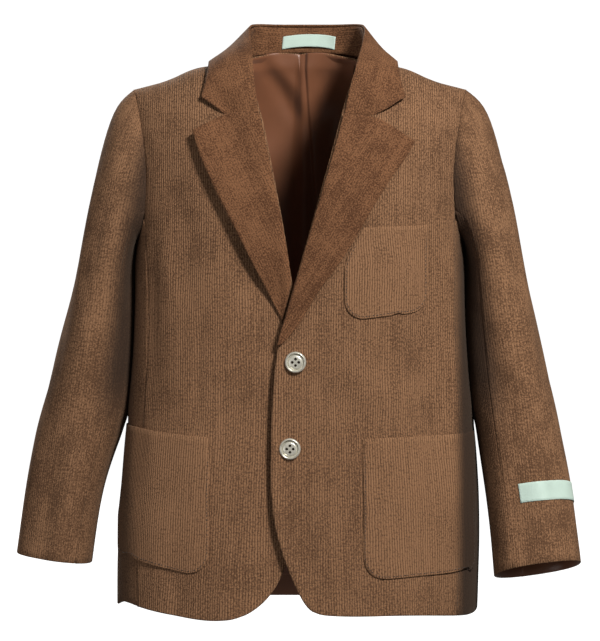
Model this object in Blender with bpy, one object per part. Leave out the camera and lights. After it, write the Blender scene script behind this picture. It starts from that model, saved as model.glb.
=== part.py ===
"""A boy's two-button corduroy blazer, filled out as if worn, with nobody in it.

Metres, +Z up. The origin is the middle of the neck opening at the height of the
shoulder's inner end. The chest faces -Y, and +X is the wearer's left.
"""

import math

import bmesh
import bpy
from mathutils import Matrix, Vector

# Driving dimensions
CLOTH = 0.0020
LINING_CLOTH = 0.0012
LABEL_CLOTH = 0.0012
SEAM_GAP = 0.0003
LINING_GAP = 0.0024
LINING_SEWN_GAP = 0.0006
LAY_GAP = 0.0007
FALL_GAP = 0.0028
STAND_GAP = 0.0018
STAND_REACH = 0.80
HEM = -0.521
ARMPIT = -0.175
NECK_HALF = 0.068
SHOULDER_TIP = 0.161
SHOULDER_DROP = 0.024
SHOULDER_FLARE = 0.0055
FLARE_END = 0.130
CHEST_FRONT = 0.088
CHEST_BACK = 0.085
CHEST_HALF = 0.157
SHOULDER_HALF = 0.168
NAPE_RISE = 0.035
ROUNDNESS = 2.6
SHOULDER_ROUNDNESS = 2.5
TUCK = 0.0058
BUTTON_SIDES = 28
BUTTON_HOLE = 0.0012
BUTTON_HOLE_RING = 0.0033
TOP_RISE = 1.9995
PANEL_GAP_TURN = 0.10


def table(columns, *rows):
    """Rows of numbers as dictionaries, with the columns' names as keys."""
    names = columns.split()
    return [dict(zip(names, row)) for row in rows]


BODY = table(
    "height half_width front back shift",
    (-0.540, 0.1735, 0.0960, 0.0900, -0.0030),
    (-0.507, 0.1738, 0.0950, 0.0890, -0.0025),
    (-0.454, 0.1748, 0.0930, 0.0860, -0.0010),
    (-0.405, 0.1720, 0.0905, 0.0820, 0.0010),
    (-0.362, 0.1688, 0.0885, 0.0790, 0.0010),
    (-0.336, 0.1660, 0.0875, 0.0780, 0.0010),
    (-0.300, 0.1615, 0.0870, 0.0775, 0.0005),
    (-0.250, 0.1580, 0.0875, 0.0800, 0.0),
    (ARMPIT, CHEST_HALF, CHEST_FRONT, CHEST_BACK, 0.0),
)

# How far the hem hangs below HEM, across the body from the wearer's right to left
HEM_DROP = table(
    "across drop",
    (-0.180, -0.0130),
    (-0.157, -0.0052),
    (-0.122, 0.0015),
    (-0.085, 0.0062),
    (-0.055, 0.0040),
    (0.0, 0.0),
    (0.050, 0.0020),
    (0.100, 0.0016),
    (0.150, 0.0045),
    (0.180, 0.0075),
)

# The armhole, from the shoulder's tip (around 0) to the underarm (around 1)
ARMHOLE = table(
    "around rise turn",
    (0.00, 1.000, 73.4),
    (0.15, 0.930, 70.5),
    (0.30, 0.760, 66.8),
    (0.45, 0.560, 64.3),
    (0.60, 0.360, 64.6),
    (0.75, 0.165, 68.7),
    (0.88, 0.050, 76.5),
    (1.00, 0.000, 90.0),
)
SIDE_SEAM_AROUND = 0.75
SIDE_SEAM_RISE = 0.165
SIDE_SEAM_TURN = 68.7
HEM_SEAM_TURN = 60.0

# Front edge and roll line of each front
LEFT_EDGE = table(
    "height across",
    (-0.521, 0.0169),
    (-0.516, 0.0085),
    (-0.508, 0.0030),
    (-0.491, -0.0052),
    (-0.472, -0.0132),
    (-0.444, -0.0216),
    (-0.415, -0.0264),
    (-0.359, -0.0263),
    (-0.2745, -0.0216),
    (-0.235, -0.0110),
    (-0.1975, 0.0000),
    (-0.1335, 0.0188),
    (-0.0818, 0.0338),
    (-0.0518, 0.0414),
    (-0.0123, 0.0535),
    (-0.0036, 0.0620),
    (0.0040, 0.0690),
)
RIGHT_EDGE = table(
    "height across",
    (-0.521, -0.0600),
    (-0.517, -0.0480),
    (-0.512, -0.0385),
    (-0.503, -0.0285),
    (-0.492, -0.0212),
    (-0.4766, -0.0141),
    (-0.458, -0.0075),
    (-0.434, 0.0),
    (-0.406, 0.0056),
    (-0.359, 0.0075),
    (-0.2745, 0.0070),
    (-0.250, 0.0005),
    (-0.2228, -0.0075),
    (-0.1947, -0.0100),
    (-0.1711, -0.0141),
    (-0.1147, -0.0254),
    (-0.0677, -0.0348),
    (-0.0518, -0.0386),
    (-0.0123, -0.0528),
    (-0.0036, -0.0622),
    (0.0040, -0.0680),
)

# The lapels' free edges, from the lowest point up to the tip
LEFT_LAPEL = table(
    "along height across",
    (0.00, -0.2690, -0.0170),
    (0.07, -0.2590, -0.0078),
    (0.14, -0.2463, 0.0024),
    (0.24, -0.2247, 0.0137),
    (0.33, -0.2068, 0.0268),
    (0.42, -0.1871, 0.0414),
    (0.54, -0.1580, 0.0583),
    (0.68, -0.1242, 0.0780),
    (0.80, -0.1072, 0.0893),
    (0.92, -0.0925, 0.1000),
    (1.00, -0.0790, 0.1068),
)
RIGHT_LAPEL = table(
    "along height across",
    (0.00, -0.2454, -0.0172),
    (0.10, -0.2300, -0.0255),
    (0.20, -0.2120, -0.0345),
    (0.32, -0.1880, -0.0470),
    (0.46, -0.1610, -0.0600),
    (0.60, -0.1335, -0.0738),
    (0.72, -0.1150, -0.0825),
    (0.84, -0.0950, -0.0915),
    (0.94, -0.0790, -0.0962),
    (1.00, -0.0700, -0.0992),
)

# Collar, from the centre back round to where the lapel begins, for +X
COLLAR = table(
    "along fold_x fold_y fold_z base_x base_y base_z edge_x edge_arc bulge",
    (0.00, 0.0000, 0.0575, 0.0455, 0.0000, 0.0550, 0.0172, 0.0000, 136.0, 0.0120),
    (0.15, 0.0295, 0.0545, 0.0452, 0.0290, 0.0520, 0.0163, 0.0400, 128.5, 0.0105),
    (0.30, 0.0495, 0.0390, 0.0440, 0.0500, 0.0370, 0.0120, 0.0710, 114.0, 0.0058),
    (0.45, 0.0563, 0.0160, 0.0390, 0.0620, 0.0130, 0.0055, 0.0865, 101.0, 0.0016),
    (0.60, 0.0545, -0.0120, 0.0240, 0.0610, -0.0160, 0.0015, 0.0905, 87.0, 0.0018),
    (0.75, 0.0505, -0.0400, 0.0050, 0.0545, -0.0420, -0.0085, 0.0910, 71.0, 0.0040),
    (0.88, 0.0455, -0.0650, -0.0230, 0.0478, -0.0590, -0.0240, 0.0935, 59.0, 0.0055),
    (1.00, 0.0400, -0.0785, -0.0505, 0.0410, -0.0720, -0.0500, 0.0965, 51.5, 0.0050),
)
COLLAR_SHIFT = 0.0055
NOTCH_ALONG = 0.60
COLLAR_NOTCH = 0.0125
LAPEL_NOTCH = 0.0085
LAPEL_TOP = -0.0535
GORGE_TUCK = 0.0030
LEFT_LAPEL_STAND = 0.0016
RIGHT_LAPEL_STAND = 0.0060

# Sleeves: near and far are the sides next to and away from the body
LEFT_SLEEVE = table(
    "height near far middle depth",
    (-0.200, 0.1598, 0.2178, 0.0000, 0.0560),
    (-0.250, 0.1598, 0.2294, -0.0020, 0.0550),
    (-0.300, 0.1630, 0.2397, -0.0060, 0.0530),
    (-0.340, 0.1684, 0.2470, -0.0120, 0.0500),
    (-0.375, 0.1732, 0.2525, -0.0190, 0.0470),
    (-0.410, 0.1780, 0.2580, -0.0270, 0.0440),
    (-0.445, 0.1815, 0.2628, -0.0360, 0.0415),
    (-0.483, 0.1840, 0.2668, -0.0450, 0.0400),
)
RIGHT_SLEEVE = table(
    "height near far middle depth",
    (-0.200, 0.1598, 0.2158, 0.0020, 0.0560),
    (-0.250, 0.1598, 0.2287, 0.0040, 0.0550),
    (-0.300, 0.1624, 0.2414, 0.0050, 0.0525),
    (-0.340, 0.1678, 0.2512, 0.0060, 0.0490),
    (-0.370, 0.1795, 0.2574, 0.0060, 0.0455),
    (-0.401, 0.1895, 0.2632, 0.0060, 0.0425),
    (-0.440, 0.1964, 0.2697, 0.0070, 0.0400),
    (-0.4755, 0.2012, 0.2746, 0.0080, 0.0385),
)
CUFF_TILT = 0.14
PITCH_STEP = 0.01
HEAD_FULLNESS = 0.54

# Folds of the sleeves: round the sleeve from its far side, and along it
SLEEVE_FOLDS = table(
    "around along width length depth lean",
    (66.0, 0.80, 15.0, 0.36, 0.0045, -14.0),
    (40.0, 1.42, 15.0, 0.34, 0.0038, 16.0),
    (112.0, 1.34, 17.0, 0.22, 0.0042, -18.0),
    (62.0, 1.82, 14.0, 0.20, 0.0026, -12.0),
    (-72.0, 0.86, 16.0, 0.34, 0.0042, 12.0),
    (-50.0, 1.46, 16.0, 0.30, 0.0034, -16.0),
    (-118.0, 1.30, 18.0, 0.22, 0.0036, 14.0),
)

# Patch pockets: the breast pocket, then the left and right hip pockets
POCKETS = table(
    "left right top slant low_slant bottom corner side_corner under_lapel",
    (0.0412, 0.1203, -0.1585, 0.0030, 0.0060, -0.2425, 0.0170, 0.0170, True),
    (0.0590, 0.1655, -0.3545, 0.0055, 0.0090, -0.4828, 0.0190, 0.0040, False),
    (-0.1730, -0.0850, -0.3503, -0.0105, -0.0085, -0.4765, 0.0200, 0.0040, False),
)

# The pleat down the middle of the back lining
PLEAT_WIDTH = 0.008
PLEAT_DEPTH = 0.0060
LINING_HEM_RISE = 0.06
LINING_TOP_TURN = 20.0
LINING_SIDE_TURN = 3.0
LINING_NARROWS = 0.45
LINING_BELOW_NECK = 0.015
NECK_TURN = 23.9


def clamp(value, low=0.0, high=1.0):
    return max(low, min(high, value))


def ease(value):
    """0 to 1 with a soft start and end."""
    value = clamp(value)
    return value * value * (3.0 - 2.0 * value)


def hill(distance, width):
    """A smooth bump, 1 at its middle."""
    return math.exp(-((distance / width) ** 2))


def look_up(rows, key, at, wanted):
    """A smooth curve through one column of a table, read against another."""
    ordered = sorted(rows, key=lambda row: row[key])
    last = len(ordered) - 1
    if at <= ordered[0][key]:
        return ordered[0][wanted]
    if at >= ordered[last][key]:
        return ordered[last][wanted]
    place = next(i for i in range(last) if ordered[i + 1][key] >= at)

    def slope(i):
        low, high = max(i - 1, 0), min(i + 1, last)
        rise = ordered[high][wanted] - ordered[low][wanted]
        return rise / (ordered[high][key] - ordered[low][key])

    start, end = ordered[place], ordered[place + 1]
    span = end[key] - start[key]
    t = (at - start[key]) / span
    return (
        start[wanted] * (2 * t**3 - 3 * t**2 + 1)
        + slope(place) * span * (t**3 - 2 * t**2 + t)
        + end[wanted] * (3 * t**2 - 2 * t**3)
        + slope(place + 1) * span * (t**3 - t**2)
    )


# ---------------------------------------------------------------- the body
def shoulder_height(across, behind):
    """Height of the shoulder's crest above the armpit; the nape stands higher."""
    slope = SHOULDER_DROP / (SHOULDER_TIP - NECK_HALF)
    crest = -ARMPIT - (abs(across) - NECK_HALF) * slope
    flare = clamp((abs(across) - NECK_HALF) / (FLARE_END - NECK_HALF))
    crest += SHOULDER_FLARE * math.sin(math.pi * flare) ** 1.5
    if behind:
        crest += NAPE_RISE * clamp(1.0 - (across / NECK_HALF) ** 2)
    return crest


def dome(share, power):
    """Depth left at a share of the way to the edge of a rounded section."""
    return max(0.0, 1.0 - abs(share) ** power) ** (1.0 / power)


def torso(turn, rise):
    """The garment's outer surface.

    turn is in degrees round the body: 0 centre front, 90 wearer's left, 180 back.
    rise is 0 at the hem, 1 at the armpit and 2 on the shoulder's crest.
    """
    behind = abs(turn) > 90.0
    share = math.sin(math.radians(turn))
    if rise > 1.0:
        lift = math.sin(math.radians(90.0 * min(rise - 1.0, 1.0)))
        half = CHEST_HALF + (SHOULDER_HALF - CHEST_HALF) * lift
        across = half * share
        height = ARMPIT + lift * shoulder_height(across, behind)
        depth = (CHEST_BACK if behind else CHEST_FRONT) * dome(lift, SHOULDER_ROUNDNESS)
    else:
        height = HEM + (ARMPIT - HEM) * rise
        half = look_up(BODY, "height", height, "half_width")
        across = look_up(BODY, "height", height, "shift") + half * share
        depth = look_up(BODY, "height", height, "back" if behind else "front")
        drop = look_up(HEM_DROP, "across", across, "drop")
        height -= drop * (1.0 - rise) ** 3 * (0.0 if behind else clamp(3.0 * dome(share, 2)))
    depth *= dome(share, ROUNDNESS)
    return Vector((across, depth if behind else -depth, height))


def rise_at(height):
    """The rise whose height on the front is about the given one."""
    if height <= ARMPIT:
        return (height - HEM) / (ARMPIT - HEM)
    lift = (height - ARMPIT) / shoulder_height(NECK_HALF, False)
    return 1.0 + math.degrees(math.asin(clamp(lift))) / 90.0


def height_at(rise):
    if rise <= 1.0:
        return HEM + (ARMPIT - HEM) * rise
    lift = math.sin(math.radians(90.0 * (rise - 1.0)))
    return ARMPIT + lift * shoulder_height(NECK_HALF, False)


def turn_at(across, rise):
    """The turn of a point of the front that lies at this distance across."""
    if rise > 1.0:
        lift = math.sin(math.radians(90.0 * (rise - 1.0)))
        half, shift = CHEST_HALF + (SHOULDER_HALF - CHEST_HALF) * lift, 0.0
    else:
        half = look_up(BODY, "height", height_at(rise), "half_width")
        shift = look_up(BODY, "height", height_at(rise), "shift")
    return math.degrees(math.asin(clamp((across - shift) / half, -1.0, 1.0)))


def on_front(across, height):
    """Turn and rise of the front's point at this distance across and height."""
    rise = rise_at(height)
    if rise > 1.0:
        lift = clamp((height - ARMPIT) / shoulder_height(across, False))
        rise = 1.0 + math.degrees(math.asin(lift)) / 90.0
    return turn_at(across, rise), rise


def armhole_turn(rise):
    lift = math.sin(math.radians(90.0 * (rise - 1.0)))
    return look_up(ARMHOLE, "rise", lift, "turn")


def side_seam(rise):
    """Turn of the outer edge of a front or a back, measured from its centre line."""
    seam_top = 1.0 + math.degrees(math.asin(SIDE_SEAM_RISE)) / 90.0
    if rise > seam_top:
        return armhole_turn(rise)
    return HEM_SEAM_TURN + (SIDE_SEAM_TURN - HEM_SEAM_TURN) * rise / seam_top


def normal_of(surface, s, t, outward):
    """Unit normal of a surface, on the side where outward points."""
    small = 0.002
    s0, s1 = max(s - small, 0.0), min(s + small, 1.0)
    t0, t1 = max(t - small, 0.0), min(t + small, 1.0)
    along = surface(s1, t) - surface(s0, t)
    up = surface(s, t1) - surface(s, t0)
    normal = along.cross(up).normalized()
    return normal if normal.dot(outward(surface(s, t))) > 0 else -normal


# ---------------------------------------------------------------- building
def clear_scene():
    for item in list(bpy.data.objects):
        bpy.data.objects.remove(item)


def new_collection(name):
    group = bpy.data.collections.new(name)
    bpy.context.scene.collection.children.link(group)
    return group


clear_scene()
BLAZER = new_collection("corduroy_blazer")
CUTTERS = new_collection("cutters")


def finish(name, colour, roughness, metallic=0.0):
    material = bpy.data.materials.new(name)
    material.use_nodes = True
    shader = material.node_tree.nodes["Principled BSDF"]
    shader.inputs["Base Color"].default_value = (*colour, 1.0)
    shader.inputs["Roughness"].default_value = roughness
    shader.inputs["Metallic"].default_value = metallic
    return material


CORDUROY = (0.19, 0.105, 0.055)
SATIN = (0.17, 0.07, 0.032)
MINT = (0.60, 0.74, 0.68)
PEARL = (0.55, 0.52, 0.47)


def add_object(name, mesh, colour, roughness, metallic=0.0):
    item = bpy.data.objects.new(name, mesh)
    mesh.materials.append(finish(name, colour, roughness, metallic))
    BLAZER.objects.link(item)
    return item


def wall(name, surface, across, along, thickness, outward, lift=None, colour=CORDUROY):
    """A closed cloth wall over a surface of two shares s and t, each 0 to 1.

    across and along are the shares of its columns and rows. Its outer side is the
    surface moved out by lift(s, t), and its inner side lies thickness below that.
    """
    shape = bmesh.new()
    sides = []
    for depth in (0.0, thickness):
        grid = []
        for t in along:
            row = []
            for s in across:
                normal = normal_of(surface, s, t, outward)
                out = (lift(s, t) if lift else 0.0) - depth
                row.append(shape.verts.new(surface(s, t) + normal * out))
            grid.append(row)
        sides.append(grid)
    outer, inner = sides
    last_row, last_column = len(along) - 1, len(across) - 1
    for i in range(last_row):
        for j in range(last_column):
            for grid in sides:
                corners = (grid[i][j], grid[i][j + 1], grid[i + 1][j + 1], grid[i + 1][j])
                shape.faces.new(corners)
    rim = [(0, j) for j in range(last_column)]
    rim += [(i, last_column) for i in range(last_row)]
    rim += [(last_row, j) for j in range(last_column, 0, -1)]
    rim += [(i, 0) for i in range(last_row, 0, -1)]
    for here, there in zip(rim, rim[1:] + rim[:1]):
        corners = [outer[here[0]][here[1]], outer[there[0]][there[1]]]
        corners += [inner[there[0]][there[1]], inner[here[0]][here[1]]]
        shape.faces.new(corners)
    bmesh.ops.recalc_face_normals(shape, faces=shape.faces)
    if shape.calc_volume(signed=True) < 0:
        bmesh.ops.reverse_faces(shape, faces=shape.faces)
    mesh = bpy.data.meshes.new(name)
    shape.to_mesh(mesh)
    shape.free()
    mesh.shade_smooth()
    mesh.set_sharp_from_angle(angle=math.radians(50))
    return add_object(name, mesh, colour, 0.9)


def steps(count, low=0.0, high=1.0, power=1.0):
    return [low + (high - low) * (i / count) ** power for i in range(count + 1)]


def from_axis(point):
    """Roughly outwards from the body's upright middle line, and up on the shoulders."""
    above = max(0.0, point.z - ARMPIT) * 1.6
    return Vector((point.x * 0.5, point.y + (1e-4 if point.y > 0 else -1e-4), above * 0.35))


# ---------------------------------------------------------------- fronts and backs
BACK_ROWS = sorted(set(steps(7, 0.0, 0.5) + steps(11, 0.5, 1.0)))
PANEL_ROWS = sorted(set(steps(11, 0.0, 0.5, 1.7) + steps(9, 0.5, 1.0)))


def tuck(across, height):
    """The right front passes under the left one near the centre."""
    beside = ease((across + 0.058) / 0.024)
    below = ease((-0.195 - height) / 0.035)
    return -TUCK * beside * below


def build_front(name, side, edge):

    def surface(s, t):
        rise = min(2.0 * t, TOP_RISE)
        inner = turn_at(look_up(edge, "height", height_at(rise), "across"), rise)
        outer = side * (side_seam(rise) - PANEL_GAP_TURN)
        turn = inner + (outer - inner) * s
        return torso(turn, rise)

    def lift(s, t):
        point = surface(s, t)
        return tuck(point.x, point.z) if side < 0 else 0.0

    return wall(name, surface, steps(11), PANEL_ROWS, CLOTH, from_axis, lift)


def build_side(name, side):

    def surface(s, t):
        around = 2.0 * s - 1.0
        seam_turn = HEM_SEAM_TURN + (SIDE_SEAM_TURN - HEM_SEAM_TURN) * t
        reach = 90.0 - seam_turn - PANEL_GAP_TURN
        turn = 90.0 + around * reach
        from_front = 90.0 - abs(turn - 90.0)
        lift = clamp(underarm_lift(from_front))
        seam_rise = 1.0 + math.degrees(math.asin(lift)) / 90.0
        return torso(side * turn, t * (seam_rise - 0.003))

    return wall(name, surface, steps(8), steps(12), CLOTH, from_axis)


def underarm_lift(turn):
    """Lift of the armhole's low part at this turn."""
    low_part = [row for row in ARMHOLE if row["around"] >= SIDE_SEAM_AROUND]
    return look_up(low_part, "turn", turn, "rise")


NAPE = table(
    "beside rise",
    (0.00, 1.637),
    (0.44, 1.704),
    (0.735, 1.788),
    (1.00, TOP_RISE),
)
NECK_SHARE = 0.325


def build_back(name, side):

    def surface(s, t):
        top = look_up(NAPE, "beside", s / NECK_SHARE, "rise")
        rise = t * min(top, TOP_RISE)
        outer = 180.0 - side_seam(rise) + PANEL_GAP_TURN
        inner = 180.0 - PANEL_GAP_TURN
        turn = inner + (outer - inner) * s
        return torso(side * turn, rise)

    columns = sorted(steps(5, 0.0, NECK_SHARE) + steps(7, NECK_SHARE, 1.0)[1:])
    return wall(name, surface, columns, BACK_ROWS, CLOTH, from_axis)


def build_lining():
    """The satin inside the back, with its ease pleat down the middle."""

    def surface(s, t):
        beside = 2.0 * s - 1.0
        top = look_up(NAPE, "beside", abs(beside) * LINING_TOP_TURN / NECK_TURN, "rise")
        rise = LINING_HEM_RISE + t * (top - LINING_BELOW_NECK - LINING_HEM_RISE)
        wide = side_seam(rise) - LINING_SIDE_TURN
        narrow = ease((rise - 1.0) / LINING_NARROWS)
        half_turn = wide + (LINING_TOP_TURN - wide) * narrow
        turn = 180.0 + beside * half_turn
        return torso(turn if turn <= 180.0 else turn - 360.0, rise)

    def lift(s, t):
        across = surface(s, t).x
        pleat = hill(across - 0.004, PLEAT_WIDTH) * PLEAT_DEPTH
        pleat *= ease((1.0 - t) / 0.04) * ease(t / 0.10)
        sewn = (LINING_GAP - LINING_SEWN_GAP) * (1.0 - ease(t / 0.10))
        slack = 0.0025 * (2.0 * s - 1.0) ** 2 * ease(t * 2.0 - 1.0)
        return sewn - CLOTH - LINING_GAP - pleat - slack

    columns = sorted(set(steps(5, 0.0, 0.44) + steps(6, 0.44, 0.56) + steps(5, 0.56, 1.0)))
    rows = sorted(set(steps(4, 0.0, 0.5) + steps(10, 0.5, 1.0)))
    return wall("back_lining", surface, columns, rows, LINING_CLOTH, from_axis,
                lift, SATIN)


# ---------------------------------------------------------------- lapels and collar
def build_lapel(name, side, edge, free_edge, low, stand):
    """A lapel rolls back over its front, and its free edge stands a little off it."""

    def outline(s, t):
        roll_height = low + (LAPEL_TOP - low) * t
        roll = look_up(edge, "height", roll_height, "across") - side * 0.0004
        if side < 0:
            other = look_up(LEFT_EDGE, "height", roll_height, "across")
            roll = min(roll, other - 0.0022)
        free_height = look_up(free_edge, "along", t, "height")
        free = look_up(free_edge, "along", t, "across")
        across = roll + (free - roll) * s
        height = roll_height + (free_height - roll_height) * s
        peak = s / NOTCH_ALONG if s < NOTCH_ALONG else (1.0 - s) / (1.0 - NOTCH_ALONG)
        height += LAPEL_NOTCH * peak * t**5
        height += GORGE_TUCK * ease((NOTCH_ALONG - s) / 0.2) * ease((s - 0.1) / 0.3) * t**12
        return across, height

    def surface(s, t):
        across, height = outline(s, t)
        turn, rise = on_front(across, height)
        return torso(turn, rise)

    def lift(s, t):
        across, height = outline(s, t)
        under = tuck(across, height) if side < 0 else 0.0
        roll = 0.0030 * hill(s - 0.10, 0.22) * ease(t * 6.0 + 0.2)
        turned_in = -0.0014 * hill(s, 0.05) * ease(t * 6.0)
        held = NOTCH_ALONG * ease((t - 0.5) / 0.5)
        off = stand * ease((s - held) / (1.0 - held)) * ease(t * 2.5)
        return under + LAY_GAP + CLOTH + roll + turned_in + off

    columns = [0.0, 0.05, 0.13, 0.26, 0.43, NOTCH_ALONG, 0.80, 1.0]
    return wall(name, surface, columns, steps(16), CLOTH, from_axis, lift)


def shoulder_arc(across, arc, out):
    """A point above the shoulder: arc is 0 at the chest, 90 on top, 180 at the back."""
    behind = arc > 90.0
    lift = math.sin(math.radians(arc))
    half = CHEST_HALF + (SHOULDER_HALF - CHEST_HALF) * lift
    share = across / half
    chest = CHEST_BACK if behind else CHEST_FRONT
    depth = chest * dome(lift, SHOULDER_ROUNDNESS) * dome(share, ROUNDNESS)
    height = ARMPIT + lift * shoulder_height(across, behind)
    normal = Vector((0.0, math.cos(math.radians(180.0 - arc)), lift)).normalized()
    return Vector((across, depth if behind else -depth, height)) + normal * out


def collar_station(along):
    """Base, fold and free edge of the collar; along is -1 to 1, 0 at the back."""
    side = 1.0 if along >= 0 else -1.0
    here = {key: look_up(COLLAR, "along", abs(along), key) for key in COLLAR[0]}
    fold = Vector((side * here["fold_x"], here["fold_y"], here["fold_z"]))
    base = Vector((side * here["base_x"], here["base_y"], here["base_z"]))
    edge = shoulder_arc(side * here["edge_x"], here["edge_arc"], CLOTH + FALL_GAP)
    raised = ease((fold.z + 0.052) / 0.092)
    fold.x += 0.0015 + COLLAR_SHIFT * raised
    base.x += 0.0015 + COLLAR_SHIFT * 0.5 * raised
    edge.x += 0.003
    return base, fold, edge, here["bulge"]


def away_from_neck(point):
    return Vector((point.x, point.y - 0.01, 0.02))


def fall_control(fold, edge, bulge):
    """The point that pulls the fall's section into a curve."""
    middle = (fold + edge) / 2.0
    out = Vector((middle.x, middle.y, 0.0)).normalized()
    out = (out * 0.7 + Vector((0.0, 0.0, 1.0))).normalized()
    return middle + out * bulge * 2.0


def stand_top(along):
    """The stand's upper edge, just under the fall where that folds over."""
    _, fold, edge, bulge = collar_station(along)
    ahead = collar_station(along + 0.02)[1] - collar_station(along - 0.02)[1]
    normal = (fall_control(fold, edge, bulge) - fold).cross(ahead).normalized()
    if normal.dot(away_from_neck(fold)) < 0:
        normal = -normal
    return fold - normal * (CLOTH + STAND_GAP)


def build_collar_fall():
    def surface(s, t):
        along = 2.0 * t - 1.0
        _, fold, edge, bulge = collar_station(along)
        control = fall_control(fold, edge, bulge)
        point = fold * (1 - s) ** 2 + control * 2 * s * (1 - s) + edge * s**2
        peak = s / NOTCH_ALONG if s < NOTCH_ALONG else (1.0 - s) / (1.0 - NOTCH_ALONG)
        point.z -= COLLAR_NOTCH * peak * ease((abs(along) - 0.80) / 0.20)
        return point

    columns = [0.0, 0.08, 0.20, 0.38, NOTCH_ALONG, 0.80, 1.0]
    return wall("collar_fall", surface, columns, steps(36), CLOTH, away_from_neck)


def build_collar_stand():
    def surface(s, t):
        along = (2.0 * t - 1.0) * STAND_REACH
        base = collar_station(along)[0]
        out = Vector((base.x, base.y, 0.0)).normalized() * CLOTH
        return base + out + (stand_top(along) - base) * s

    return wall("collar_stand", surface, steps(3), steps(26), CLOTH, away_from_neck)


# ---------------------------------------------------------------- sleeves
def armhole_ring(around):
    """Armhole point at an angle: 0 shoulder tip, 90 front, 180 underarm, 270 back."""
    around %= 360.0
    half = around / 180.0 if around <= 180.0 else (360.0 - around) / 180.0
    lift = look_up(ARMHOLE, "around", half, "rise")
    turn = look_up(ARMHOLE, "around", half, "turn")
    rise = min(1.0 + math.degrees(math.asin(clamp(lift))) / 90.0, TOP_RISE)
    return torso(turn if around <= 180.0 else 180.0 - turn, rise)


def sleeve_section(sections, around, height):
    near = look_up(sections, "height", height, "near")
    far = look_up(sections, "height", height, "far")
    middle = look_up(sections, "height", height, "middle")
    depth = look_up(sections, "height", height, "depth")
    angle = math.radians(around)
    wide, deep = math.cos(angle), math.sin(angle)
    swell = (abs(wide) ** 2.3 + abs(deep) ** 2.3) ** (-1 / 2.3)
    half = (far - near) / 2.0
    across = (near + far) / 2.0 + half * wide * swell
    tilt = CUFF_TILT * half * wide * swell * ease((-0.20 - height) / 0.15)
    upper = max(height, sections[-1]["height"] + PITCH_STEP)
    pitch = look_up(sections, "height", upper - PITCH_STEP, "middle")
    pitch -= look_up(sections, "height", upper, "middle")
    lean = pitch / PITCH_STEP
    fore = depth * deep * swell
    return Vector((across, middle - fore, height + tilt - lean * fore))


def sleeve_surface(sections, side, around, along):
    """along is 0 at the armhole, 1 just under it and 2 at the cuff."""
    top = sections[0]["height"]
    cuff = sections[-1]["height"]
    if along >= 1.0:
        point = sleeve_section(sections, around, top + (cuff - top) * (along - 1.0))
    else:
        start = armhole_ring(around) + Vector((0.0005, 0.0, 0.0))
        end = sleeve_section(sections, around, top)
        below = sleeve_section(sections, around, top - 0.01)
        reach = (end - start).length
        angle = math.radians(around)
        leave = Vector((1.0, -0.45 * math.sin(angle), -0.05)).normalized() * reach * HEAD_FULLNESS
        arrive = (below - end).normalized() * reach
        t = along
        point = start * (2 * t**3 - 3 * t**2 + 1) + leave * (t**3 - 2 * t**2 + t)
        point += end * (3 * t**2 - 2 * t**3) + arrive * (t**3 - t**2)
    return Vector((side * point.x, point.y, point.z))


def fold_depth(around, along):
    """How far the sleeve's folds press in at this place."""
    total = 0.0
    for fold in SLEEVE_FOLDS:
        along_fold = along - fold["along"]
        centre = fold["around"] + fold["lean"] * along_fold / fold["length"]
        away = (around - centre + 180.0) % 360.0 - 180.0
        total += fold["depth"] * hill(away, fold["width"]) * hill(along_fold, fold["length"])
    return total


SLEEVE_ROWS = sorted(set(steps(5) + steps(10, 1.0, 2.0)))
TOP_SLEEVE = (-106.0, 128.0)
LABEL_AROUND = (-30.0, 109.0)
LABEL_ALONG = (1.741, 1.804)


def build_sleeve(which, side, sections):
    """The top sleeve shows in front and outside; the under sleeve faces the body."""
    gap = 0.25
    front, back = TOP_SLEEVE[1], TOP_SLEEVE[0]
    parts = (
        ("top_sleeve_" + which, back + gap, front - gap, 16),
        ("under_sleeve_" + which, front + gap, back + 360.0 - gap, 9),
    )
    for name, start, end, columns in parts:

        def surface(s, t, start=start, end=end):
            around = start + (end - start) * s
            return sleeve_surface(sections, side, around, 2.0 * t)

        def lift(s, t, start=start, end=end):
            around = start + (end - start) * s
            return -fold_depth(around, 2.0 * t)

        def outward(point):
            centre_height = max(min(point.z, -0.10), sections[-1]["height"])
            near = look_up(sections, "height", centre_height, "near")
            far = look_up(sections, "height", centre_height, "far")
            middle = look_up(sections, "height", centre_height, "middle")
            centre = Vector((side * (near + far) / 2.0, middle, centre_height - 0.002))
            return point - centre

        rows = [along / 2.0 for along in SLEEVE_ROWS]
        wall(name, surface, steps(columns), rows, CLOTH, outward, lift)


# ---------------------------------------------------------------- pockets, labels
def corner_inset(outline, which, height):
    """How far a rounded lower corner cuts in from the pocket's side at a height."""
    radius = outline[which]
    up = clamp(1.0 - (height - outline["bottom"]) / radius)
    return radius * (1.0 - math.sqrt(1.0 - up * up))


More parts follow.
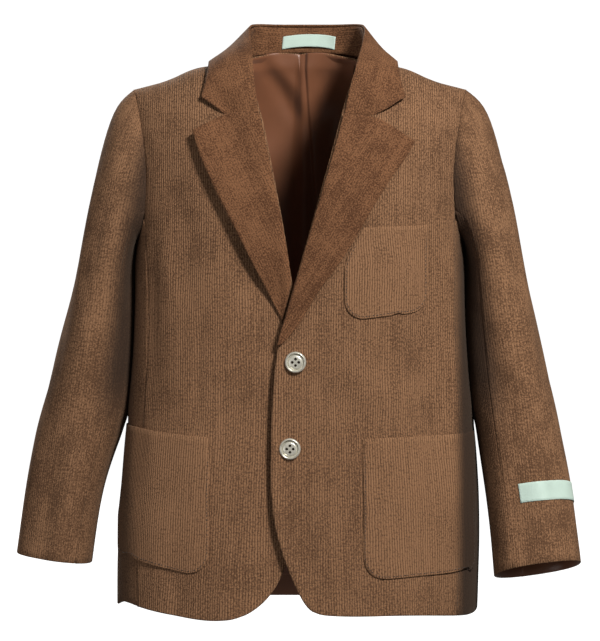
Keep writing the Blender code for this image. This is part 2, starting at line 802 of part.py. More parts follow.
def build_pocket(name, outline):
    """A patch pocket on the body, with rounded lower corners."""

    def surface(s, t):
        height = outline["bottom"] + (outline["top"] - outline["bottom"]) * t
        middle_side, arm_side = "corner", "side_corner"
        if outline["left"] < 0.0:
            middle_side, arm_side = arm_side, middle_side
        left = outline["left"] + corner_inset(outline, middle_side, height)
        right = outline["right"] - corner_inset(outline, arm_side, height)
        if outline["under_lapel"]:
            left = max(left, look_up(LEFT_LAPEL, "height", height, "across") + 0.0012)
        left_turn, rise = on_front(left, height)
        right_turn, rise = on_front(right, height)
        turn = left_turn + (right_turn - left_turn) * s
        across = torso(turn, rise).x
        slant = outline["low_slant"] + (outline["slant"] - outline["low_slant"]) * t
        height += slant * (s - 0.5)
        return torso(*on_front(across, height))

    def lift(s, t):
        bulge = 0.0008 * math.sin(math.pi * s) * math.sin(math.pi * t)
        round_side = 0.0006 * ease((abs(surface(s, t).x) - 0.115) / 0.03)
        return LAY_GAP + CLOTH + bulge + round_side

    rows = [(1.0 - math.cos(math.pi / 2 * i / 9)) for i in range(10)]
    return wall(name, surface, steps(10), rows, CLOTH, from_axis, lift)


def build_all_pockets():
    for name, outline in zip(("breast", "hip_left", "hip_right"), POCKETS):
        build_pocket("pocket_" + name, outline)


def build_neck_label():
    """A woven label on the inside of the stand."""

    def surface(s, t):
        along = 0.02 + (s - 0.5) * 0.27
        base = collar_station(along)[0]
        arch = 0.10 * (1.0 - (2.0 * s - 1.0) ** 2)
        share = 0.14 + arch + 0.50 * t
        return base + (stand_top(along) - base) * share

    def lift(s, t):
        gape = 0.0014 * (1.0 - (2.0 * s - 1.0) ** 2) * (1.0 - t)
        return LAY_GAP + LABEL_CLOTH + gape

    def inward(point):
        return Vector((0.0, -1.0, 0.0))

    return wall("neck_label", surface, steps(8), steps(3), LABEL_CLOTH, inward, lift, MINT)


def build_sleeve_label():
    """A blank woven label tacked round the left sleeve above the cuff."""

    def place(s, t):
        around = LABEL_AROUND[0] + (LABEL_AROUND[1] - LABEL_AROUND[0]) * s
        along = LABEL_ALONG[1] + (LABEL_ALONG[0] - LABEL_ALONG[1]) * t
        return around, along

    def surface(s, t):
        return sleeve_surface(LEFT_SLEEVE, 1.0, *place(s, t))

    def lift(s, t):
        return 2.0 * SEAM_GAP + LABEL_CLOTH - fold_depth(*place(s, t))

    def outward(point):
        return point - Vector((0.222, -0.034, point.z))

    return wall("sleeve_label", surface, steps(14), steps(2), LABEL_CLOTH, outward, lift, MINT)


# ---------------------------------------------------------------- buttons
BUTTON_PROFILE = table(
    "radius height",
    (0.0, 0.0),
    (0.0082, 0.0),
    (0.0096, 0.0007),
    (0.0100, 0.0019),
    (0.0095, 0.0033),
    (0.0084, 0.0038),
    (0.0074, 0.0034),
    (0.0064, 0.0024),
    (0.0, 0.0020),
)
BUTTON_PLACES = table("across height", (-0.0042, -0.2858), (-0.0094, -0.3667))


def button_mesh():
    """One turned button, its flat back at z = 0, with four holes in a diamond."""
    shape = bmesh.new()
    points = [shape.verts.new((row["radius"], 0.0, row["height"])) for row in BUTTON_PROFILE]
    for low, high in zip(points, points[1:]):
        shape.edges.new((low, high))
    bmesh.ops.spin(shape, geom=shape.verts[:] + shape.edges[:], cent=(0, 0, 0),
                   axis=(0, 0, 1), angle=math.tau, steps=BUTTON_SIDES, use_merge=True)
    bmesh.ops.remove_doubles(shape, verts=shape.verts, dist=1e-6)
    bmesh.ops.recalc_face_normals(shape, faces=shape.faces)
    mesh = bpy.data.meshes.new("button")
    shape.to_mesh(mesh)
    shape.free()
    return mesh


def hole_cutter(place):
    shape = bmesh.new()
    for quarter in range(4):
        angle = math.radians(90.0 * quarter)
        offset = Vector((math.cos(angle), math.sin(angle), 0.0)) * BUTTON_HOLE_RING
        centre = Matrix.Translation(offset + Vector((0.0, 0.0, 0.001)))
        bmesh.ops.create_cone(shape, cap_ends=True, segments=8, radius1=BUTTON_HOLE,
                              radius2=BUTTON_HOLE, depth=0.008, matrix=centre)
    mesh = bpy.data.meshes.new("holes")
    shape.to_mesh(mesh)
    shape.free()
    cutter = bpy.data.objects.new("holes", mesh)
    cutter.matrix_world = place
    cutter.hide_render = True
    cutter.display_type = "WIRE"
    CUTTERS.objects.link(cutter)
    return cutter


def build_buttons():
    for name, spot in zip(("button_top", "button_bottom"), BUTTON_PLACES):
        turn, rise = on_front(spot["across"], spot["height"])
        point = torso(turn, rise)
        beside = torso(turn + 0.5, rise) - torso(turn - 0.5, rise)
        above = torso(turn, rise + 0.01) - torso(turn, rise - 0.01)
        out = beside.cross(above).normalized()
        across = Vector((0.0, 0.0, 1.0)).cross(out).normalized()
        up = out.cross(across)
        place = Matrix((across, up, out)).transposed().to_4x4()
        place.translation = point + out * SEAM_GAP
        button = add_object(name, button_mesh(), PEARL, 0.3)
        button.matrix_world = place
        cut = button.modifiers.new("holes", "BOOLEAN")
        cut.operation = "DIFFERENCE"
        cut.solver = "EXACT"
        cut.object = hole_cutter(place)


build_front("front_left", 1.0, LEFT_EDGE)
build_front("front_right", -1.0, RIGHT_EDGE)
build_side("side_left", 1.0)
build_side("side_right", -1.0)
build_back("back_left", 1.0)
build_back("back_right", -1.0)
build_lining()
build_lapel("lapel_left", 1.0, LEFT_EDGE, LEFT_LAPEL, -0.2708, LEFT_LAPEL_STAND)
build_lapel("lapel_right", -1.0, RIGHT_EDGE, RIGHT_LAPEL, -0.2500,
            RIGHT_LAPEL_STAND)
build_collar_fall()
build_collar_stand()
build_sleeve("left", 1.0, LEFT_SLEEVE)
build_sleeve("right", -1.0, RIGHT_SLEEVE)
build_all_pockets()
build_neck_label()
build_sleeve_label()
build_buttons()
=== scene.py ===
# %% [markdown]
# # A boy's corduroy blazer
# The solids of this blazer are already modelled: fronts, backs, sleeves, collar,
# lapels, pockets, labels and buttons, each a closed wall of its own. This script
# dresses them. It gives the cloth its soft folds, its ribbed pile and its seams,
# then sets up the camera and the studio light of a catalogue picture.

# %% Load the solids
import math

import bmesh
import bpy
from mathutils import Matrix, Vector, noise
from mathutils.bvhtree import BVHTree


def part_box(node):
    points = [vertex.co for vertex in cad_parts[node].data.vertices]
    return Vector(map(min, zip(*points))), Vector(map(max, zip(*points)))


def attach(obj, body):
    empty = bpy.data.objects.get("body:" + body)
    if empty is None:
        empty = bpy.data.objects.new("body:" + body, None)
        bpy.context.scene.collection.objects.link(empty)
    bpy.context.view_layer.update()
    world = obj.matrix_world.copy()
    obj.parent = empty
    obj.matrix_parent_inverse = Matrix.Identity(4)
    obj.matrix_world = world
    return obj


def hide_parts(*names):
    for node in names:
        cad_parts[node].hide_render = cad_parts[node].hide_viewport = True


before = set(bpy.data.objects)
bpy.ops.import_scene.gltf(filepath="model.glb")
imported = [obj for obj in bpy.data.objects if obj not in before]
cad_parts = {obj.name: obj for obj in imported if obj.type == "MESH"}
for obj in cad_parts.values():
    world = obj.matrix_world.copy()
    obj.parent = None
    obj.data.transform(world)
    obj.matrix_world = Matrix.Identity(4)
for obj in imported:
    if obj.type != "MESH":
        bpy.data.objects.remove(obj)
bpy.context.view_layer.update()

# %% [markdown]
# ## The sizes that the cloth follows
# All lengths are in metres. The garment is worn by nobody, so its body is a rounded
# box that is flatter than a barrel. These few numbers describe that shape well enough
# to lay a pattern round it: how wide it is at each height, and how deep.

# %% The body's own sizes
ARMPIT = -0.175
SHOULDER = -0.005
CHEST_DEPTH = 0.0865
ROUNDNESS = 2.6
HALF_WIDTHS = (
    (-0.540, 0.1735),
    (-0.454, 0.1748),
    (-0.362, 0.1688),
    (-0.300, 0.1615),
    (-0.250, 0.1580),
    (-0.175, 0.1570),
    (-0.080, 0.1650),
    (0.000, 0.1680),
)


def clamp(value, low=0.0, high=1.0):
    return max(low, min(high, value))


def ease(value):
    """0 to 1 with a soft start and end."""
    value = clamp(value)
    return value * value * (3.0 - 2.0 * value)


def hill(distance, width):
    """A smooth bump, 1 at its middle."""
    return math.exp(-((distance / width) ** 2))


def between(rows, at, column=1):
    """Reads one column of a short table against its first column."""
    if at <= rows[0][0]:
        return rows[0][column]
    for low, high in zip(rows, rows[1:]):
        if at <= high[0]:
            share = (at - low[0]) / (high[0] - low[0])
            return low[column] + (high[column] - low[column]) * share
    return rows[-1][column]


print("half width at the waist:", round(between(HALF_WIDTHS, -0.30), 4))

# %% [markdown]
# ## A soft copy of each solid
# Tailored cloth has no facets. Each solid's triangles are merged and paired into quads,
# the edges of the wall are creased so that they stay where they are, and Subdivision
# Surface rounds the rest. The result is applied, because the folds that follow need
# points of their own every few millimetres.

# %% Copy, merge and smooth a solid
CREASE_ANGLE = math.radians(50.0)
EDGE_CREASE = 0.82


def smooth_copy(node, levels=2):
    """The node's mesh with shared points, quads and rounded faces, as a new object."""
    shape = bmesh.new()
    shape.from_mesh(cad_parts[node].data)
    bmesh.ops.remove_doubles(shape, verts=shape.verts, dist=2e-5)
    bmesh.ops.recalc_face_normals(shape, faces=shape.faces)
    bmesh.ops.join_triangles(
        shape, faces=shape.faces, angle_face_threshold=0.7, angle_shape_threshold=1.6
    )
    crease = shape.edges.layers.float.new("crease_edge")
    for edge in shape.edges:
        if len(edge.link_faces) == 2 and edge.calc_face_angle() > CREASE_ANGLE:
            edge[crease] = EDGE_CREASE
    corner = shape.verts.layers.float.new("crease_vert")
    for vertex in shape.verts:
        if sum(edge[crease] > 0.0 for edge in vertex.link_edges) > 2:
            vertex[corner] = 1.0
    rough = bpy.data.meshes.new(node + "_rough")
    shape.to_mesh(rough)
    shape.free()
    holder = bpy.data.objects.new(node + "_cloth", rough)
    bpy.context.scene.collection.objects.link(holder)
    rounding = holder.modifiers.new("rounding", "SUBSURF")
    rounding.levels = rounding.render_levels = levels
    rounding.boundary_smooth = "PRESERVE_CORNERS"
    bpy.context.view_layer.update()
    seen = holder.evaluated_get(bpy.context.evaluated_depsgraph_get())
    smooth = bpy.data.meshes.new_from_object(seen)
    holder.modifiers.clear()
    holder.data = smooth
    bpy.data.meshes.remove(rough)
    smooth.name = holder.name
    smooth.shade_smooth()
    return holder


BODY_NODES = (
    "front_left front_right side_left side_right back_left back_right back_lining "
    "lapel_left lapel_right pocket_breast pocket_hip_left pocket_hip_right"
).split()
COLLAR_NODES = ["collar_fall", "collar_stand", "neck_label"]
SLEEVE_NODES = {
    "left": ["top_sleeve_left", "under_sleeve_left", "sleeve_label"],
    "right": ["top_sleeve_right", "under_sleeve_right"],
}
cloth = {}
for node in BODY_NODES + COLLAR_NODES + SLEEVE_NODES["left"] + SLEEVE_NODES["right"]:
    cloth[node] = smooth_copy(node, 3 if node == "back_lining" else 2)
print("cloth pieces:", len(cloth), "points:", sum(len(o.data.vertices) for o in cloth.values()))

# %% [markdown]
# ## Which way is out
# A fold pushes cloth straight in or out, and cloth that lies on other cloth has to move
# with it. So the direction comes from the place alone: pieces stacked on one another
# share it, and a pocket never sinks into the front that carries it.


# %% Outward directions of the body and of the sleeves
def power(value, exponent):
    return math.copysign(abs(value) ** exponent, value)


def out_of_body(point):
    """Unit direction straight out of the rounded body at this point."""
    half = between(HALF_WIDTHS, point.z)
    rise = clamp((point.z - ARMPIT) / (SHOULDER - ARMPIT))
    across = power(point.x / half, ROUNDNESS - 1.0) / half
    deep = power(point.y / CHEST_DEPTH, ROUNDNESS - 1.0) / CHEST_DEPTH
    up = rise**1.5 / (SHOULDER - ARMPIT)
    return Vector((across, deep, up)).normalized()


# Height, distance across, distance back and mean radius of a sleeve's middle line
SLEEVE_LINES = {
    "left": (
        (-0.480, 0.2248, -0.045, 0.041),
        (-0.410, 0.2183, -0.027, 0.043),
        (-0.340, 0.2088, -0.012, 0.045),
        (-0.250, 0.1958, -0.002, 0.046),
        (-0.200, 0.1890, 0.000, 0.047),
        (-0.110, 0.1700, 0.000, 0.049),
        (0.010, 0.1330, 0.000, 0.050),
    ),
    "right": (
        (-0.480, 0.2380, 0.008, 0.038),
        (-0.401, 0.2264, 0.006, 0.040),
        (-0.340, 0.2108, 0.006, 0.044),
        (-0.250, 0.1956, 0.004, 0.046),
        (-0.200, 0.1890, 0.002, 0.047),
        (-0.110, 0.1700, 0.000, 0.049),
        (0.010, 0.1330, 0.000, 0.050),
    ),
}


def sleeve_place(point, which):
    """Angle round the sleeve (0 outermost, 90 in front), its radius, and the way out."""
    side = 1.0 if which == "left" else -1.0
    line = SLEEVE_LINES[which]
    across = side * point.x - between(line, point.z, 1)
    deep = point.y - between(line, point.z, 2)
    angle = math.degrees(math.atan2(-deep, across))
    out = Vector((side * across, deep, 0.0)).normalized()
    return angle, between(line, point.z, 3), out


print("out at the chest:", [round(v, 2) for v in out_of_body(Vector((0.0, -0.09, -0.2)))])

# %% [markdown]
# ## Folds placed one by one
# Corduroy is thick and springy, so a blazer of it has few folds, and each is long, soft
# and uneven. They hang from where the cloth is held: from the shoulder down past the
# armhole, from the fastened buttons out to the side, and down to the hem. Every row is
# one fold: its middle, half its length and width, how far it leans and how deep it is.
# A depth below zero presses in. The back has its own, much like those in front.

# %% Rows of folds on the body
FRONT_FOLDS = (
    # across, height, long, wide, lean, depth
    (-0.148, -0.300, 0.120, 0.010, 4.0, -0.0022),
    (-0.128, -0.205, 0.070, 0.011, -6.0, 0.0018),
    (-0.112, -0.150, 0.060, 0.012, -10.0, -0.0018),
    (-0.066, -0.345, 0.070, 0.012, 14.0, -0.0016),
    (-0.040, -0.440, 0.060, 0.014, 8.0, 0.0016),
    (-0.118, -0.500, 0.045, 0.012, -4.0, -0.0020),
    (-0.070, -0.505, 0.040, 0.012, 5.0, 0.0018),
    (0.045, -0.330, 0.060, 0.013, -58.0, -0.0014),
    (0.060, -0.305, 0.060, 0.012, -62.0, 0.0012),
    (0.055, -0.480, 0.070, 0.014, -6.0, -0.0018),
    (0.095, -0.505, 0.050, 0.014, 4.0, 0.0018),
    (0.120, -0.310, 0.090, 0.011, -5.0, -0.0020),
    (0.143, -0.275, 0.110, 0.009, -4.0, 0.0018),
    (0.128, -0.180, 0.070, 0.011, 7.0, -0.0016),
    (0.020, -0.420, 0.070, 0.012, 5.0, 0.0012),
)
BACK_FOLDS = (
    (-0.140, -0.250, 0.110, 0.012, 5.0, -0.0026),
    (-0.112, -0.200, 0.090, 0.013, 8.0, 0.0022),
    (0.138, -0.240, 0.110, 0.012, -6.0, -0.0026),
    (0.110, -0.190, 0.090, 0.013, -9.0, 0.0022),
    (-0.060, -0.400, 0.110, 0.016, 4.0, -0.0022),
    (0.050, -0.420, 0.100, 0.017, -5.0, 0.0022),
    (0.000, -0.090, 0.030, 0.060, 0.0, -0.0020),
    (-0.095, -0.480, 0.070, 0.014, -3.0, 0.0024),
    (0.100, -0.470, 0.080, 0.014, 3.0, -0.0024),
)
DARTS = (
    # across and height of the top, then of the bottom
    (-0.0935, -0.238, -0.0970, -0.350),
    (0.0780, -0.252, 0.0755, -0.358),
)
DART_DEPTH = 0.0010
DART_WIDTH = 0.0045
DRIFT = 0.0009


def fold_height(rows, across, height):
    """Sum of the folds at a place, each fading along and across itself."""
    total = 0.0
    for middle, middle_height, long, wide, lean, depth in rows:
        slope = math.radians(lean)
        aside, above = across - middle, height - middle_height
        along = above * math.cos(slope) + aside * math.sin(slope)
        beside = aside * math.cos(slope) - above * math.sin(slope)
        beside += 0.25 * wide * math.sin(along / long * 4.0 + middle * 60.0)
        total += depth * hill(along, long) * hill(beside, wide)
    return total


def dart_height(across, height):
    total = 0.0
    for top_x, top_z, low_x, low_z in DARTS:
        share = (top_z - height) / (top_z - low_z)
        middle = top_x + (low_x - top_x) * clamp(share)
        ends = ease(share / 0.15) * ease((1.0 - share) / 0.15)
        total -= DART_DEPTH * hill(across - middle, DART_WIDTH) * ends
    return total


# How far body and sleeve each swell under the arm, and the heights where they touch
SIDE_SWELL = 0.0021
TOUCH_LOW = -0.350
TOUCH_HIGH = -0.160


def under_arm(height):
    """1 where the sleeve lies against the body, and 0 above and below."""
    return ease((height - TOUCH_LOW) / 0.025) * ease((TOUCH_HIGH - height) / 0.020)


def body_push(point):
    """How far the body's cloth stands out of its plain shape at a point."""
    front = ease(0.5 - point.y / 0.05)
    push = front * fold_height(FRONT_FOLDS, point.x, point.z)
    push += front * dart_height(point.x, point.z)
    push += (1.0 - front) * fold_height(BACK_FOLDS, point.x, point.z)
    slow = Vector((point.x * 26.0, point.y * 26.0 + 7.0, point.z * 11.0))
    push += DRIFT * noise.noise(slow) + 0.4 * DRIFT * noise.noise(slow * 2.3)
    push += SIDE_SWELL * under_arm(point.z) * ease((abs(point.x) - 0.135) / 0.015)
    beside_arm = ease((0.158 - abs(point.x)) / 0.020)
    at_arm = ease((point.z - ARMPIT + 0.02) / 0.03)
    held = 1.0 - at_arm * (1.0 - beside_arm)
    neck = 1.0 - ease((point.z + 0.055) / 0.045)
    return push * held * neck


print("deepest front fold:", min(row[5] for row in FRONT_FOLDS))

# %% Rows of folds on the sleeves
SLEEVE_FOLDS = {
    # angle, height, wide in degrees, long, lean in degrees for each metre, depth
    "left": (
        (20.0, -0.130, 16.0, 0.050, -150.0, -0.0022),
        (48.0, -0.160, 15.0, 0.060, -150.0, 0.0020),
        (78.0, -0.185, 14.0, 0.050, -160.0, -0.0020),
        (12.0, -0.290, 16.0, 0.040, 200.0, -0.0018),
        (50.0, -0.330, 15.0, 0.045, 200.0, 0.0018),
        (95.0, -0.290, 16.0, 0.045, 160.0, 0.0018),
        (30.0, -0.420, 17.0, 0.035, -180.0, 0.0014),
        (76.0, -0.430, 12.0, 0.120, 20.0, 0.0026),
        (106.0, -0.430, 13.0, 0.110, 20.0, -0.0022),
        (-60.0, -0.200, 18.0, 0.060, 120.0, 0.0022),
        (-100.0, -0.300, 18.0, 0.060, -120.0, -0.0022),
    ),
    "right": (
        (24.0, -0.125, 16.0, 0.050, -160.0, -0.0022),
        (55.0, -0.165, 15.0, 0.060, -150.0, 0.0020),
        (84.0, -0.200, 14.0, 0.050, -150.0, -0.0018),
        (8.0, -0.300, 16.0, 0.045, 190.0, -0.0018),
        (44.0, -0.350, 15.0, 0.050, 190.0, 0.0018),
        (88.0, -0.300, 16.0, 0.050, 170.0, 0.0016),
        (74.0, -0.450, 14.0, 0.110, 60.0, -0.0020),
        (100.0, -0.450, 13.0, 0.110, 60.0, 0.0022),
        (-64.0, -0.210, 18.0, 0.060, 120.0, 0.0022),
        (-104.0, -0.320, 18.0, 0.060, -120.0, -0.0022),
    ),
}


# How far the head of a sleeve stands up where it is set in at the shoulder
HEAD_LIFT = 0.0020


def sleeve_push(point, which):
    """Where a sleeve's cloth moves from its plain shape at a point."""
    angle, _, out = sleeve_place(point, which)
    push = 0.0
    for middle, height, wide, long, lean, depth in SLEEVE_FOLDS[which]:
        above = point.z - height
        away = (angle - middle - lean * above + 180.0) % 360.0 - 180.0
        push += depth * hill(away, wide) * hill(above, long)
    slow = Vector((point.x * 34.0 + 3.0, point.y * 34.0, point.z * 14.0))
    push += DRIFT * noise.noise(slow)
    free = ease((abs(point.x) - 0.158) / 0.024) if point.z > -0.20 else 1.0
    cuff = ease((point.z + 0.500) / 0.05)
    inner = ease((abs(angle) - 125.0) / 35.0)
    push = push * free * cuff * (1.0 - inner) + SIDE_SWELL * inner * under_arm(point.z)
    lift = Vector((0.0, 0.0, HEAD_LIFT * ease((point.z + 0.085) / 0.05)))
    return out * push + lift


# %% Move a piece's points
def bend_piece(piece, push_at):
    """Moves the piece's points by a push that is worked out from where each one is."""
    for vertex in piece.data.vertices:
        vertex.co += push_at(vertex.co.copy())
    piece.data.update()


# %% The collar's ends meet the lapels
# The seam where the collar meets the lapels: across and height of its two ends
GORGE = ((0.040, -0.0485), (0.0735, -0.0525))
# How far the collar sinks there, over what height, and how far it runs under the lapels
GORGE_SINK = 0.0042
GORGE_REACH = 0.018
GORGE_UNDER = 0.0028
# How far the collar's free tips stand up
TIP_LIFT = 0.0022


def sink_gorge(point):
    """Lets the collar's ends down until they are flush with the lapels."""
    beside = ease((GORGE[1][0] + 0.006 - abs(point.x)) / 0.012)
    above = point.z - GORGE[0][1]
    share = ease(1.0 - above / GORGE_REACH) if point.y < -0.03 else 0.0
    tip = ease((abs(point.x) - 0.078) / 0.018) * ease((-0.028 - point.z) / 0.02)
    under = Vector((0.0, 0.0, -GORGE_UNDER)) * (beside * share)
    return out_of_body(point) * (TIP_LIFT * tip - GORGE_SINK * beside * share) + under


# %% The lining's top edge, pleat and creases
LINING_TOP_REACH = 0.014
LINING_RISE = 0.0045
LINING_SINK = 0.0022
PLEAT_RAISED = 0.0026


def raise_lining(point):
    """Carries the lining's top edge up behind the seam of the collar's stand."""
    edge_height = 0.0150 - 2.3 * point.x**2
    share = ease(1.0 - (edge_height - point.z) / LINING_TOP_REACH)
    rise = LINING_RISE + 0.0035 * ease(abs(point.x) / 0.045)
    return Vector((point.x * 0.10, LINING_SINK, rise)) * share


LINING_FOLDS = (
    # across, height, long, wide, lean, depth
    (-0.026, -0.012, 0.045, 0.009, -38.0, -0.0030),
    (-0.010, -0.014, 0.040, 0.008, -32.0, 0.0024),
    (0.032, -0.006, 0.035, 0.009, 30.0, -0.0026),
    (0.020, -0.070, 0.040, 0.008, 14.0, 0.0018),
)


def fold_pleat(point):
    """Lets the pleat's upper layer stand proud, so its edge draws a line down the lining."""
    beside = point.x - 0.0045 + 0.07 * min(point.z, 0.0)
    raised = ease(beside / 0.0030) * (1.0 - ease((beside - 0.004) / 0.022))
    creased = PLEAT_RAISED * raised + fold_height(LINING_FOLDS, point.x, point.z)
    return Vector((0.0, -creased, 0.0)) * ease((point.z + 0.20) / 0.09)


# %% Front edge, seams, pockets and labels
# The overlapping front edge, as height and distance across
FRONT_EDGE = (
    (-0.507, 0.0000),
    (-0.468, -0.0155),
    (-0.420, -0.0232),
    (-0.372, -0.0270),
    (-0.324, -0.0261),
    (-0.270, -0.0203),
)
# How far that edge stands up, how wide the strip is, and the height where it begins
EDGE_LIFT = 0.0026
EDGE_REACH = 0.015
EDGE_TOP = -0.268
EDGE_FADE = 0.03
# How far each side of a seam moves, and how far sideways a face looks to be on one
SEAM_GAP = 0.0009
SEAM_FACING = 0.45
# How far a pocket and a label lie down into the pile
POCKET_SINK = 0.0014
LABEL_SINK = 0.0012


def lift_edge(point):
    """Lets the edge of the overlapping front spring away from the one below it."""
    beside = point.x - between(FRONT_EDGE, point.z)
    near = ease(1.0 - beside / EDGE_REACH) * ease((EDGE_TOP - point.z) / EDGE_FADE)
    return Vector((0.0, -EDGE_LIFT * near, 0.0))


def close_seams(piece, out_at):
    """Moves a panel's upright edges sideways until they meet the panels sewn to them."""
    normals = [vertex.normal.copy() for vertex in piece.data.vertices]
    for vertex, normal in zip(piece.data.vertices, normals):
        aside = out_at(vertex.co).cross(Vector((0.0, 0.0, 1.0))).normalized()
        facing = normal.dot(aside)
        if abs(facing) > SEAM_FACING:
            vertex.co += aside * math.copysign(SEAM_GAP, facing)
    piece.data.update()


def press_pocket(point):
    """Presses a pocket down into the pile that it is sewn to."""
    return out_of_body(point) * -POCKET_SINK


# %% Push the cloth of every piece
for node in BODY_NODES:
    bend_piece(cloth[node], lambda point: out_of_body(point) * body_push(point))
bend_piece(cloth["front_left"], lift_edge)
bend_piece(cloth["collar_fall"], sink_gorge)
bend_piece(cloth["neck_label"], lambda point: Vector((0.0, 0.5 * LABEL_SINK, 0.0)))
bend_piece(cloth["back_lining"], lambda point: raise_lining(point) + fold_pleat(point))
for node in BODY_NODES:
    if node.startswith(("front", "side", "back_left", "back_right")):
        close_seams(cloth[node], out_of_body)
for node in ("pocket_breast", "pocket_hip_left", "pocket_hip_right"):
    bend_piece(cloth[node], press_pocket)
for which, nodes in SLEEVE_NODES.items():
    for node in nodes:
        bend_piece(cloth[node], lambda point, which=which: sleeve_push(point, which))
for which, nodes in SLEEVE_NODES.items():
    for node in nodes[:2]:
        close_seams(cloth[node], lambda point, which=which: sleeve_place(point, which)[2])
bend_piece(cloth["sleeve_label"], lambda point: sleeve_place(point, "left")[2] * -LABEL_SINK)
print("folded pieces:", len(BODY_NODES) + sum(len(n) for n in SLEEVE_NODES.values()))

# %% [markdown]
# ## The grain of the cloth
# Corduroy's ribs, the wales, run the length of the roll, so every cut piece shows which
# way it lay on the table. Upright on fronts, backs and pockets, along the sleeves, along
# the collar's length, and aslant on the lapels, where the front edge is folded back. Each
# piece gets a UV map called grain, measured in metres: its first number is the distance
# across the wales, so one material gives even ribs on all of them.


# %% Arc lengths round a rounded section
def section_arcs(ratio):
    """Length from the centre front to each degree of turn, for a half width of 1."""
    lengths, total, last = [0.0], 0.0, Vector((0.0, ratio))
    for turn in range(1, 91):
        share = math.sin(math.radians(turn))
        here = Vector((share, ratio * max(0.0, 1.0 - share**ROUNDNESS) ** (1.0 / ROUNDNESS)))
        total += (here - last).length
        lengths.append(total)
        last = here
    return lengths


RATIOS = [0.1 * i for i in range(8)]
ARCS = [section_arcs(ratio) for ratio in RATIOS]


def arc_length(turn, half, depth):
    ratio = clamp(depth / half, 0.0, 0.699) * 10.0
    low, whole = int(ratio), min(int(turn), 89)
    part, between_degrees = ratio - low, turn - whole
    first, second = ARCS[low], ARCS[low + 1]
    near = first[whole] + (first[whole + 1] - first[whole]) * between_degrees
    far = second[whole] + (second[whole + 1] - second[whole]) * between_degrees
    return half * (near + (far - near) * part)


def body_grain(point):
    """Distance round the body from its centre front or back, and the height."""
    half = between(HALF_WIDTHS, point.z)
    rise = clamp((point.z - ARMPIT) / (0.012 - ARMPIT))
    depth = CHEST_DEPTH * max(0.0, 1.0 - rise**2.5) ** 0.4
    by_width = math.degrees(math.asin(clamp(abs(point.x) / half)))
    steep = math.atan2(abs(point.x) / half, max(abs(point.y), 1e-6) / CHEST_DEPTH)
    share = math.sin(steep) / (math.sin(steep) ** ROUNDNESS + math.cos(steep) ** ROUNDNESS) ** (
        1.0 / ROUNDNESS
    )
    by_angle = math.degrees(math.asin(clamp(share)))
    high = ease((point.z - ARMPIT + 0.02) / 0.04)
    turn = by_angle + (by_width - by_angle) * high
    return math.copysign(arc_length(turn, half, depth), point.x), point.z


def sleeve_grain(point, which):
    angle, radius, _ = sleeve_place(point, which)
    away = (angle - 30.0 + 180.0) % 360.0 - 180.0
    return math.radians(away) * radius, point.z


# The collar's fold line from the centre back to where the lapel begins
FOLD_LINE = (
    (0.0000, 0.0575, 0.0425),
    (0.0345, 0.0545, 0.0420),
    (0.0550, 0.0390, 0.0405),
    (0.0620, 0.0160, 0.0360),
    (0.0605, -0.0120, 0.0240),
    (0.0550, -0.0400, 0.0050),
    (0.0480, -0.0650, -0.0230),
    (0.0415, -0.0785, -0.0505),
)


def collar_grain(point):
    """Distance down from the fold line, and the distance along it."""
    here = Vector((abs(point.x), point.y, point.z))
    best, along, walked = 1.0, 0.0, 0.0
    for start, end in zip(FOLD_LINE, FOLD_LINE[1:]):
        start, step = Vector(start), Vector(end) - Vector(start)
        share = clamp((here - start).dot(step) / step.length_squared)
        gap = (here - start - step * share).length
        if gap < best:
            best, along = gap, walked + share * step.length
        walked += step.length
    return best, math.copysign(along, point.x)


LAPEL_SLOPES = {"lapel_left": 57.0, "lapel_right": 116.0}


def lapel_grain(point, slope):
    """Distance square to the lapel's free edge, and along it."""
    run, climb = math.cos(math.radians(slope)), math.sin(math.radians(slope))
    return point.x * climb - point.z * run, point.x * run + point.z * climb


def flat_grain(point):
    return point.x, point.z


# %% Write the grain into a UV map
def lay_grain(piece, grain_at):
    """Gives each corner of each face its place on the uncut cloth, in metres."""
    mesh = piece.data
    layer = mesh.uv_layers.new(name="grain")
    places = [grain_at(vertex.co) for vertex in mesh.vertices]
    for loop in mesh.loops:
        layer.uv[loop.index].vector = places[loop.vertex_index]
    mesh.uv_layers.active = layer


GRAINS = {
    "collar_fall": collar_grain,
    "collar_stand": lambda point: (point.z, point.x),
    "neck_label": flat_grain,
    "lapel_left": lambda point: lapel_grain(point, LAPEL_SLOPES["lapel_left"]),
    "lapel_right": lambda point: lapel_grain(point, LAPEL_SLOPES["lapel_right"]),
}
for node in BODY_NODES + COLLAR_NODES:
    lay_grain(cloth[node], GRAINS.get(node, body_grain))
for which, nodes in SLEEVE_NODES.items():
    for node in nodes:
        lay_grain(cloth[node], lambda point, which=which: sleeve_grain(point, which))
print("grain laid on", len(cloth), "pieces")

# %% [markdown]
# ## Shader maths as plain sums
# A material's pattern is a little arithmetic on coordinates. Wiring Math nodes by hand
# hides that, so this small class wraps a socket and lets Python's own signs add the
# nodes. Every other kind of node comes from one method, `add`, which sets the node's
# options first and its inputs after.


